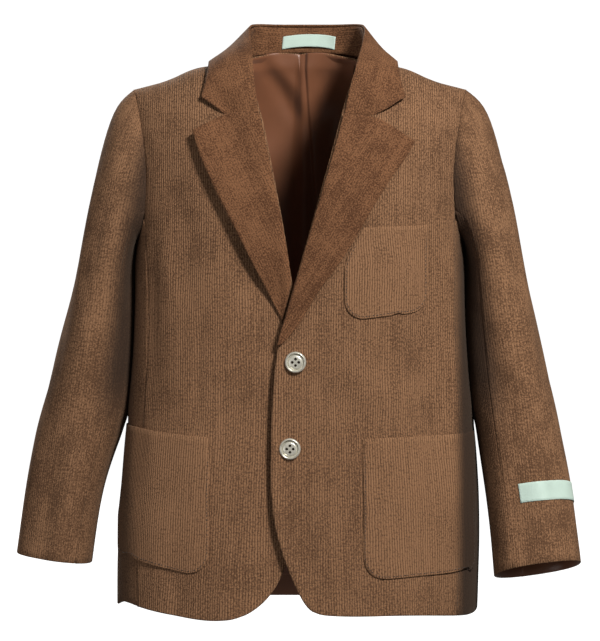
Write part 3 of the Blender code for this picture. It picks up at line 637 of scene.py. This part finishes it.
# %% A socket that can be added and multiplied
class Value:
    """The number or colour that leaves a socket, with the usual signs of arithmetic."""

    def __init__(self, tree, socket):
        self.tree = tree
        self.socket = socket

    def add(self, kind, output=0, inputs=(), **settings):
        return add_node(self.tree, kind, output, inputs, **settings)

    def maths(self, operation, first, second=None):
        given = [(i, v) for i, v in enumerate((first, second)) if v is not None]
        return self.add("ShaderNodeMath", 0, given, operation=operation)

    def __add__(self, other):
        return self.maths("ADD", self, other)

    def __sub__(self, other):
        return self.maths("SUBTRACT", self, other)

    def __mul__(self, other):
        return self.maths("MULTIPLY", self, other)

    def __truediv__(self, other):
        return self.maths("DIVIDE", self, other)

    def __pow__(self, other):
        return self.maths("POWER", self, other)

    def __rsub__(self, other):
        return self.maths("SUBTRACT", other, self)

    def __neg__(self):
        return self.maths("MULTIPLY", self, -1.0)

    def cosine(self):
        return self.maths("COSINE", self)

    def rounded(self):
        return self.maths("ROUND", self)

    def at_least(self, low):
        return self.maths("MAXIMUM", self, low)

    def step(self, low, high):
        """0 below low and 1 above high, with a smooth ramp between them."""
        inputs = [("Value", self), ("From Min", low), ("From Max", high)]
        return self.add("ShaderNodeMapRange", 0, inputs, interpolation_type="SMOOTHSTEP")


def add_node(tree, kind, output=0, inputs=(), **settings):
    """A node of this kind: its settings first, then its inputs, as values or links."""
    node = tree.nodes.new(kind)
    for name, setting in settings.items():
        setattr(node, name, setting)
    for key, given in inputs:
        if isinstance(given, Value):
            tree.links.new(given.socket, node.inputs[key])
        else:
            node.inputs[key].default_value = given
    return Value(tree, node.outputs[output])


def mix(tree, share, first, second):
    """A colour between two others, by a share."""
    inputs = [("Factor", share), (6, first), (7, second)]
    return add_node(tree, "ShaderNodeMix", 2, inputs, data_type="RGBA")


def combine(tree, x, y, z=0.0):
    return add_node(tree, "ShaderNodeCombineXYZ", 0, [(0, x), (1, y), (2, z)])


def patches(tree, where, scale, detail=3.0, roughness=0.55):
    """A cloudy number from 0 to 1 that varies with the place."""
    inputs = [("Vector", where), ("Scale", scale), ("Detail", detail), ("Roughness", roughness)]
    return add_node(tree, "ShaderNodeTexNoise", 0, inputs)


def new_material(name):
    """An empty material with its main shader, and the tree that it is wired in."""
    material = bpy.data.materials.new(name)
    material.use_nodes = True
    tree = material.node_tree
    return material, tree, tree.nodes["Principled BSDF"]


print("shader maths ready")

# %% [markdown]
# ## Corduroy
# Corduroy is a pile cloth: rows of cut loops stand up as rounded wales, and the ground
# weave shows as a dark line between them. Here a cosine across the grain makes both the
# relief and the dark lines. The pile also leans this way and that after handling, which
# shows as cloudy lighter and darker patches, so slow noise stretched along the wales
# brushes the colour, and a finer one breaks each wale into tufts. The front of the body's
# sides and the inner front of the upper sleeves are painted darker: painted shade for the
# shadow between sleeve and body.

# %% The corduroy material
WALE = 0.0023
PILE_HIGH = 0.00045
PILE = ((0.262, 0.140, 0.074), (0.104, 0.053, 0.028))
WARM_PILE = ((0.202, 0.095, 0.046), (0.068, 0.029, 0.014))
GROUND = (0.040, 0.020, 0.012, 1.0)
# Painted shade: the dark colour laid on the body's sides and inner sleeves for the shadow
# between arm and body
PAINTED_SHADE = (0.026, 0.017, 0.013, 1.0)


def painted_side_shade(tree, place):
    """Painted shade: up to 1 on the front of the body's sides below the arms, stronger on the
    viewer's right, darkening them as the sleeves' shadow would.
    """
    parts = add_node(tree, "ShaderNodeSeparateXYZ", 0, [(0, place)])
    deep = Value(tree, parts.socket.node.outputs[1])
    sides = parts.step(0.143, 0.157) * 0.92 + (-parts).step(0.150, 0.168) * 0.55
    low = -Value(tree, parts.socket.node.outputs[2])
    return sides * (-deep).step(-0.060, -0.010) * low.step(0.08, 0.20)


def corduroy(name, ribs=1.0, contrast=1.0, light=0.0, seed=0.0, pile=PILE, fine=1.0, painted_shade_at=None):
    """Ribbed pile. ribs is how plainly the wales show, contrast how patchy the nap is."""
    material, tree, shader = new_material(name)
    grain = add_node(tree, "ShaderNodeUVMap", 0, uv_map="grain")
    parts = add_node(tree, "ShaderNodeSeparateXYZ", 0, [(0, grain)])
    across, along = parts, Value(tree, parts.socket.node.outputs[1])
    place = add_node(tree, "ShaderNodeTexCoord", 3)
    wander = patches(tree, place, 60.0, 3.0)
    count = across / WALE + (wander - 0.5) * 0.9
    ridge = (count * math.tau).cosine() * 0.5 + 0.5
    own = add_node(tree, "ShaderNodeTexWhiteNoise", 0, [(1, count.rounded() + seed)],
                   noise_dimensions="1D")
    tuft_place = combine(tree, across * (640.0 * fine), along * (500.0 * fine), seed)
    tufts = patches(tree, tuft_place, 1.0, 2.0, 0.7)
    streaks = patches(tree, combine(tree, across * 190.0, along * 34.0, seed + 4.0), 1.0, 3.0)
    brushed = patches(tree, place, 15.0, 5.0, 0.68)
    clouds = patches(tree, place, 62.0, 3.0, 0.65)
    tone = (brushed - 0.5) * 1.1 + (clouds - 0.5) * 1.0 + (streaks - 0.5) * 0.7
    tone = tone * contrast + (own - 0.5) * 0.16 + (tufts - 0.5) * 3.4 + 0.55 + light
    brushed_pile = mix(tree, tone.step(0.0, 1.0), pile[1] + (1.0,), pile[0] + (1.0,))
    plain = clouds.step(0.30, 0.62) * 0.32 + 0.32
    shown = 1.0 - (1.0 - (ridge * 1.5 + (tufts - 0.5) * 1.4).step(0.0, 1.0)) * plain * ribs
    ribbed = mix(tree, shown, GROUND, brushed_pile)
    # Painted shade: the front of the body's sides is darkened for the shadow that the sleeves
    # cast on them
    if painted_shade_at == "sides":
        ribbed = mix(tree, painted_side_shade(tree, place), ribbed, PAINTED_SHADE)
    # Painted shade: the inner front of the upper sleeve is darkened for the shadow beside the
    # body
    if painted_shade_at == "inside of arm":
        inside = across.step(0.050, 0.075) * along.step(-0.370, -0.290)
        ribbed = mix(tree, inside * 0.85, ribbed, PAINTED_SHADE)
    height = ridge.at_least(0.02) ** 0.6 * ribs + (tufts - 0.5) * 0.9
    bump = add_node(tree, "ShaderNodeBump", 0,
                    [("Strength", 0.75), ("Distance", PILE_HIGH), ("Height", height)])
    tree.links.new(ribbed.socket, shader.inputs["Base Color"])
    tree.links.new(bump.socket, shader.inputs["Normal"])
    shader.inputs["Roughness"].default_value = 0.92
    shader.inputs["Specular IOR Level"].default_value = 0.08
    shader.inputs["Sheen Weight"].default_value = 0.05
    shader.inputs["Sheen Roughness"].default_value = 0.5
    shader.inputs["Sheen Tint"].default_value = (0.95, 0.78, 0.62, 1.0)
    return material


# The body and pocket pieces take painted shade on their sides, the sleeves on the inside of the
# upper arm
CORDUROY = corduroy("corduroy", light=0.06, seed=1.0, painted_shade_at="sides")
CORDUROY_POCKET = corduroy("corduroy pocket", light=0.32, seed=9.0, painted_shade_at="sides")
CORDUROY_SLEEVE = corduroy("corduroy sleeve", 0.55, 1.15, -0.10, 5.0, painted_shade_at="inside of arm")
CORDUROY_LAPEL = corduroy("corduroy lapel", 0.35, 0.8, -0.04, 3.0, WARM_PILE, fine=1.2)
print("wales in each 10 mm:", round(0.010 / WALE, 1))

# %% [markdown]
# ## Satin, ribbon, shell and thread
# The lining is a smooth satin with a soft gloss. The labels are woven from fine
# ribbon yarn, so they have a faint rib and no gloss. The buttons are polished and
# pearly grey. Their thread is the brown of the cloth.

# %% The other materials


def satin(name, colour, roughness, ribs=0.0):
    """Smooth woven cloth, with faint ribs of that pitch if one is given."""
    material, tree, shader = new_material(name)
    place = add_node(tree, "ShaderNodeTexCoord", 3)
    cloudy = patches(tree, place, 40.0, 3.0)
    dark = tuple(v * 0.82 for v in colour) + (1.0,)
    light = tuple(min(1.0, v * 1.12) for v in colour) + (1.0,)
    tinted = mix(tree, cloudy, dark, light)
    tree.links.new(tinted.socket, shader.inputs["Base Color"])
    shader.inputs["Roughness"].default_value = roughness
    shader.inputs["Specular IOR Level"].default_value = 0.4
    shader.inputs["Sheen Weight"].default_value = 0.15
    if ribs:
        grain = add_node(tree, "ShaderNodeUVMap", 0, uv_map="grain")
        parts = add_node(tree, "ShaderNodeSeparateXYZ", 0, [(0, grain)])
        rows = Value(tree, parts.socket.node.outputs[1]) / ribs
        wave = (rows * math.tau).cosine()
        bump = add_node(tree, "ShaderNodeBump", 0,
                        [("Strength", 0.5), ("Distance", 0.0001), ("Height", wave)])
        tree.links.new(bump.socket, shader.inputs["Normal"])
    return material


def shell(name, colour, roughness):
    """Pearly plastic: clouded grey under a clear, glossy coat."""
    material, tree, shader = new_material(name)
    place = add_node(tree, "ShaderNodeTexCoord", 3)
    veined = patches(tree, place, 260.0, 3.0)
    dark = tuple(v * 0.62 for v in colour) + (1.0,)
    light = tuple(min(1.0, v * 1.18) for v in colour) + (1.0,)
    tinted = mix(tree, veined, dark, light)
    tree.links.new(tinted.socket, shader.inputs["Base Color"])
    shader.inputs["Roughness"].default_value = roughness
    shader.inputs["Metallic"].default_value = 0.45
    shader.inputs["Coat Weight"].default_value = 0.5
    shader.inputs["Coat Roughness"].default_value = 0.12
    return material


SATIN = satin("brown satin lining", (0.185, 0.072, 0.034), 0.38)
RIBBON = satin("mint ribbon", (0.50, 0.64, 0.57), 0.62, ribs=0.0007)
SHELL = shell("pearl grey shell", (0.66, 0.64, 0.55), 0.30)
THREAD = satin("brown thread", (0.045, 0.025, 0.015), 0.7)
print("materials:", len(bpy.data.materials))

# %% [markdown]
# ## Right side and wrong side
# A blazer's body is lined, so the inner face of each panel is satin and only its outer
# face is pile. Each face is given the one or the other by which way it looks.


# %% Give every face its material
def dress(piece, outer, inner, out_at):
    """Outer faces take one material, and faces that look inwards take another."""
    mesh = piece.data
    mesh.materials.clear()
    mesh.materials.append(outer)
    if inner is None:
        return
    mesh.materials.append(inner)
    for face in mesh.polygons:
        if face.normal.dot(out_at(face.center)) < -0.35:
            face.material_index = 1


for node in BODY_NODES:
    outer, inner = CORDUROY, None
    if node.startswith(("front", "side", "back")):
        inner = SATIN
    if node.startswith("pocket"):
        outer = CORDUROY_POCKET
    if node.startswith("lapel"):
        outer = CORDUROY_LAPEL
    if node == "back_lining":
        outer, inner = SATIN, None
    dress(cloth[node], outer, inner, out_of_body)
dress(cloth["collar_fall"], CORDUROY_LAPEL, None, out_of_body)
dress(cloth["collar_stand"], CORDUROY_LAPEL, None, out_of_body)
dress(cloth["neck_label"], RIBBON, None, out_of_body)
for which, nodes in SLEEVE_NODES.items():
    for node in nodes:
        if node == "sleeve_label":
            dress(cloth[node], RIBBON, None, out_of_body)
        else:
            dress(cloth[node], CORDUROY_SLEEVE, SATIN,
                  lambda point, which=which: sleeve_place(point, which)[2])
print("dressed:", len(cloth))

# %% [markdown]
# ## Buttons
# Each button is turned from a round blank: a raised rim, a dished middle and four holes
# set in a diamond. Spinning half a section round the axis makes the turned shape, and a
# Boolean drills it. The thread that holds it on shows dark inside the holes.

# %% Turn and drill the buttons
BUTTON_SECTION = (
    (0.0, 0.0), (0.0080, 0.0), (0.0092, 0.0004), (0.0098, 0.0011), (0.0100, 0.0020),
    (0.0098, 0.0029), (0.0093, 0.0035), (0.0087, 0.0038), (0.0082, 0.0035), (0.0079, 0.0026),
    (0.0077, 0.0017), (0.0073, 0.0014), (0.0069, 0.0018), (0.0063, 0.0025), (0.0054, 0.0029),
    (0.0040, 0.0030), (0.0020, 0.0029), (0.0, 0.0029),
)
BUTTON_STEPS = 56
HOLE_RADIUS = 0.0013
HOLE_RING = 0.0030


def button_place(node):
    """Where a button's solid lies: its middle, and its own across, up and out."""
    low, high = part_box(node)
    middle = (Vector(low) + Vector(high)) / 2.0
    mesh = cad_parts[node].data
    base = [v.co for v in mesh.vertices]
    out = out_of_body(middle)
    nearest = min(point.dot(out) for point in base)
    across = Vector((0.0, 0.0, 1.0)).cross(out).normalized()
    place = Matrix((across, out.cross(across), out)).transposed().to_4x4()
    place.translation = middle + out * (nearest - middle.dot(out))
    return place


def turn_button():
    shape = bmesh.new()
    points = [shape.verts.new((radius, 0.0, height)) for radius, height in BUTTON_SECTION]
    for low, high in zip(points, points[1:]):
        shape.edges.new((low, high))
    bmesh.ops.spin(shape, geom=shape.verts[:] + shape.edges[:], cent=(0, 0, 0),
                   axis=(0, 0, 1), angle=math.tau, steps=BUTTON_STEPS, use_merge=True)
    bmesh.ops.remove_doubles(shape, verts=shape.verts, dist=1e-6)
    bmesh.ops.recalc_face_normals(shape, faces=shape.faces)
    return shape


def drill():
    shape = bmesh.new()
    for quarter in range(4):
        angle = math.radians(90.0 * quarter)
        centre = Vector((math.cos(angle), math.sin(angle), 0.0)) * HOLE_RING
        bmesh.ops.create_cone(shape, cap_ends=True, segments=18, radius1=HOLE_RADIUS,
                              radius2=HOLE_RADIUS, depth=0.008,
                              matrix=Matrix.Translation(centre))
    return shape


def object_from(shape, name, material):
    mesh = bpy.data.meshes.new(name)
    shape.to_mesh(mesh)
    shape.free()
    mesh.materials.append(material)
    item = bpy.data.objects.new(name, mesh)
    bpy.context.scene.collection.objects.link(item)
    return item


def drilled_button(name, place):
    blank = object_from(turn_button(), name, SHELL)
    cutter = object_from(drill(), name + "_drill", SHELL)
    cut = blank.modifiers.new("holes", "BOOLEAN")
    cut.operation, cut.solver, cut.object = "DIFFERENCE", "EXACT", cutter
    bpy.context.view_layer.update()
    seen = blank.evaluated_get(bpy.context.evaluated_depsgraph_get())
    drilled = bpy.data.meshes.new_from_object(seen)
    blank.modifiers.clear()
    blank.data = drilled
    bpy.data.objects.remove(cutter)
    drilled.transform(place)
    drilled.shade_smooth()
    drilled.set_sharp_from_angle(angle=math.radians(35.0))
    return blank


def thread_in_holes(name, place):
    """The thread that fills the lower half of the four holes."""
    shape = bmesh.new()
    for quarter in range(4):
        angle = math.radians(90.0 * quarter)
        centre = Vector((math.cos(angle) * HOLE_RING, math.sin(angle) * HOLE_RING, 0.0003))
        bmesh.ops.create_icosphere(shape, subdivisions=2, radius=HOLE_RADIUS * 0.8,
                                   matrix=Matrix.Translation(centre))
    item = object_from(shape, name, THREAD)
    item.data.transform(place)
    item.data.shade_smooth()
    return item


buttons, threads = {}, {}
for node in ("button_top", "button_bottom"):
    place = button_place(node)
    buttons[node] = drilled_button(node + "_turned", place)
    threads[node] = thread_in_holes(node + "_thread", place)
print("buttons:", [round(v, 4) for v in buttons["button_top"].data.vertices[0].co])

# %% [markdown]
# ## Stitches round the pockets
# A patch pocket is sewn down round its sides and bottom, just inside the edge. From the
# front, a ray at each angle finds where the pocket ends, and a little inside that line
# each stitch is a short grain of thread that lies in the pile and follows the cloth.

# %% Find a pocket's edge and sew along it
STITCH_INSET = 0.0022
STITCH_PITCH = 0.0034
STITCH_LONG = 0.0024
STITCH_THICK = 0.00042
# The seam's first angle and its turn in degrees, in this many steps
SEAM_START = -222.0
SEAM_TURN = 264.0
SEAM_STEPS = 240
# A ray starts this far in front, and the edge is sought out to here by halving
IN_FRONT = -0.3
FARTHEST = 0.12
HALVINGS = 12


def pocket_edge(tree, low, high):
    """Points just inside the sides and bottom of a pocket, from one top corner round."""
    middle = Vector(((low.x + high.x) / 2.0, IN_FRONT, (low.z + high.z) / 2.0))
    inwards = Vector((0.0, 1.0, 0.0))
    points = []
    for step in range(SEAM_STEPS + 1):
        angle = math.radians(SEAM_START + SEAM_TURN * step / SEAM_STEPS)
        way = Vector((math.cos(angle), 0.0, math.sin(angle)))
        inside, outside = 0.0, FARTHEST
        for _ in range(HALVINGS):
            reach = (inside + outside) / 2.0
            if tree.ray_cast(middle + way * reach, inwards)[0] is None:
                outside = reach
            else:
                inside = reach
        points.append(tree.ray_cast(middle + way * (inside - STITCH_INSET), inwards)[:2])
    return [point for point in points if point[0] is not None]


def sew(name, pocket):
    """A row of stitches as one piece of thread grains along the pocket's edge."""
    tree = BVHTree.FromObject(pocket, bpy.context.evaluated_depsgraph_get())
    corners = [vertex.co for vertex in pocket.data.vertices]
    low = Vector([min(c[axis] for c in corners) for axis in range(3)])
    high = Vector([max(c[axis] for c in corners) for axis in range(3)])
    shape, walked, count = bmesh.new(), 0.0, 0
    edge = pocket_edge(tree, low, high)
    for (here, out), (there, _) in zip(edge, edge[1:]):
        walked += (there - here).length
        if walked < STITCH_PITCH:
            continue
        walked -= STITCH_PITCH
        along = (there - here).normalized()
        turned = Matrix((along, out.cross(along), out)).transposed().to_4x4()
        turned.translation = here + out * 0.0001
        size = Matrix.Diagonal((STITCH_LONG / 2.0, STITCH_THICK, STITCH_THICK * 0.8, 1.0))
        bmesh.ops.create_icosphere(shape, subdivisions=1, radius=1.0, matrix=turned @ size)
        count += 1
    bmesh.ops.recalc_face_normals(shape, faces=shape.faces)
    row = object_from(shape, name, THREAD)
    row.data.shade_smooth()
    return row, count


stitches = {}
for node in ("pocket_breast", "pocket_hip_left", "pocket_hip_right"):
    stitches[node], count = sew(node + "_stitches", cloth[node])
    print(node, "stitches:", count)

# %% [markdown]
# ## Hand the pieces over
# Each piece rides on a body, and the solid that it stands for is hidden. Everything here is one
# garment, so it all rides on the root.

# %% Ride and replace
SLOTS = {"back_lining": "lining", "neck_label": "label", "sleeve_label": "label"}
for node, piece in cloth.items():
    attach(piece, "root")
    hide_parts(node)
for node, piece in buttons.items():
    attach(piece, "root")
    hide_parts(node)
    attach(threads[node], "root")
for row in stitches.values():
    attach(row, "root")
print("handed over:", len(cloth) + len(buttons) + len(threads) + len(stitches))

# %% [markdown]
# ## Each piece's flat cut
# A tailor cuts every piece flat. The width and length are measured round the finished
# piece along its grain, without seam allowances, and the area is the piece's own.

FLAT = {
    "front_left": (0.210, 0.545, 0.0880, ["side_left"]),
    "front_right": (0.195, 0.545, 0.0810, ["side_right"]),
    "side_left": (0.115, 0.385, 0.0395, ["front_left", "back_left"]),
    "side_right": (0.115, 0.380, 0.0388, ["front_right", "back_right"]),
    "back_left": (0.182, 0.552, 0.0885, ["back_right"]),
    "back_right": (0.182, 0.552, 0.0885, ["back_left"]),
    "back_lining": (0.332, 0.522, 0.1325, ["back_left", "back_right"]),
    "lapel_left": (0.080, 0.236, 0.0101, ["front_left"]),
    "lapel_right": (0.075, 0.206, 0.0094, ["front_right"]),
    "pocket_breast": (0.086, 0.091, 0.0068, ["front_left"]),
    "pocket_hip_left": (0.132, 0.139, 0.0167, ["front_left"]),
    "pocket_hip_right": (0.137, 0.139, 0.0161, ["front_right"]),
    "collar_fall": (0.060, 0.440, 0.0231, ["collar_stand"]),
    "collar_stand": (0.045, 0.192, 0.0074, ["collar_fall"]),
    "neck_label": (0.053, 0.016, 0.00074, ["collar_stand"]),
    "top_sleeve_left": (0.206, 0.472, 0.0765, ["under_sleeve_left"]),
    "under_sleeve_left": (0.106, 0.382, 0.0358, ["top_sleeve_left"]),
    "top_sleeve_right": (0.206, 0.458, 0.0730, ["under_sleeve_right"]),
    "under_sleeve_right": (0.103, 0.368, 0.0340, ["top_sleeve_right"]),
    "sleeve_label": (0.103, 0.022, 0.00212, ["top_sleeve_left"]),
}
corduroy_cut = sum(row[2] for node, row in FLAT.items() if node not in SLOTS)
print("corduroy cut, in square metres:", round(corduroy_cut, 3))

# %% [markdown]
# ## Studio
# The picture is a catalogue cut-out: a pale, round sweep with no edge in sight from any
# side, one soft key light high on the viewer's right, a broad and weak fill low on the
# left, and a light behind for whoever walks round the blazer. The camera looks level at
# its middle through a long lens, which keeps the two sleeves the same size.

# %% Pale sweep
FLOOR = -0.60
FLOOR_RADIUS = 3.6
BEND = 1.0
WALL_TOP = 4.5


def sweep():
    """A round floor that bends up into a wall on all sides: half a section, spun round."""
    shape = bmesh.new()
    line = [Vector((0.0, 0.0, FLOOR)), Vector((FLOOR_RADIUS, 0.0, FLOOR))]
    for step in range(1, 13):
        angle = math.radians(90.0 * step / 12)
        out = FLOOR_RADIUS + BEND * math.sin(angle)
        line.append(Vector((out, 0.0, FLOOR + BEND * (1.0 - math.cos(angle)))))
    line.append(Vector((FLOOR_RADIUS + BEND, 0.0, WALL_TOP)))
    points = [shape.verts.new(place) for place in line]
    for pair in zip(points, points[1:]):
        shape.edges.new(pair)
    bmesh.ops.spin(shape, geom=shape.verts[:] + shape.edges[:], cent=(0, 0, 0),
                   axis=(0, 0, 1), angle=math.tau, steps=96, use_merge=True)
    bmesh.ops.remove_doubles(shape, verts=shape.verts, dist=1e-5)
    bmesh.ops.recalc_face_normals(shape, faces=shape.faces)
    return shape


paper, _, paper_shader = new_material("pale paper")
paper_shader.inputs["Base Color"].default_value = (0.30, 0.30, 0.30, 1.0)
paper_shader.inputs["Roughness"].default_value = 0.9
paper_shader.inputs["Emission Color"].default_value = (1.0, 1.0, 1.0, 1.0)
paper_shader.inputs["Emission Strength"].default_value = 0.95
floor = object_from(sweep(), "sweep", paper)
floor.data.shade_smooth()
floor.visible_diffuse = floor.visible_glossy = floor.visible_shadow = False

# %% Camera
PIXEL = 0.000966
PICTURE_WIDTH = 600
SENSOR = 36.0
DISTANCE = 2.6
EYE_HEIGHT = -0.2468
camera = bpy.data.objects.new("camera", bpy.data.cameras.new("camera"))
bpy.context.scene.collection.objects.link(camera)
camera.data.sensor_width = SENSOR
camera.data.sensor_fit = "HORIZONTAL"
camera.data.lens = SENSOR * DISTANCE / (PICTURE_WIDTH * PIXEL)
camera.location = (0.0, -DISTANCE, EYE_HEIGHT)
camera.rotation_euler = (math.radians(90.0), 0.0, 0.0)
bpy.context.scene.camera = camera
print("lens:", round(camera.data.lens, 1))


# %% Lights
def softbox(name, place, target, size, watts, colour=(1.0, 1.0, 1.0)):
    """A square area light that faces its target."""
    lamp = bpy.data.lights.new(name, "AREA")
    lamp.shape, lamp.size, lamp.energy, lamp.color = "SQUARE", size, watts, colour
    holder = bpy.data.objects.new(name, lamp)
    bpy.context.scene.collection.objects.link(holder)
    holder.location = place
    way = Vector(target) - Vector(place)
    holder.rotation_euler = way.to_track_quat("-Z", "Y").to_euler()
    return holder


MIDDLE = (0.0, 0.0, -0.25)
softbox("key", (1.08, -1.82, 1.25), MIDDLE, 0.42, 86.0, (1.0, 0.97, 0.93))
softbox("fill", (-1.7, -1.8, -0.5), MIDDLE, 1.4, 11.0, (0.97, 0.97, 1.0))
softbox("back light", (-1.3, 2.4, 1.3), MIDDLE, 1.0, 60.0, (1.0, 0.98, 0.95))
world = bpy.data.worlds.new("studio")
world.use_nodes = True
world.node_tree.nodes["Background"].inputs["Color"].default_value = (1.0, 0.98, 0.95, 1.0)
world.node_tree.nodes["Background"].inputs["Strength"].default_value = 0.15
bpy.context.scene.world = world
bpy.context.scene.view_settings.view_transform = "Standard"
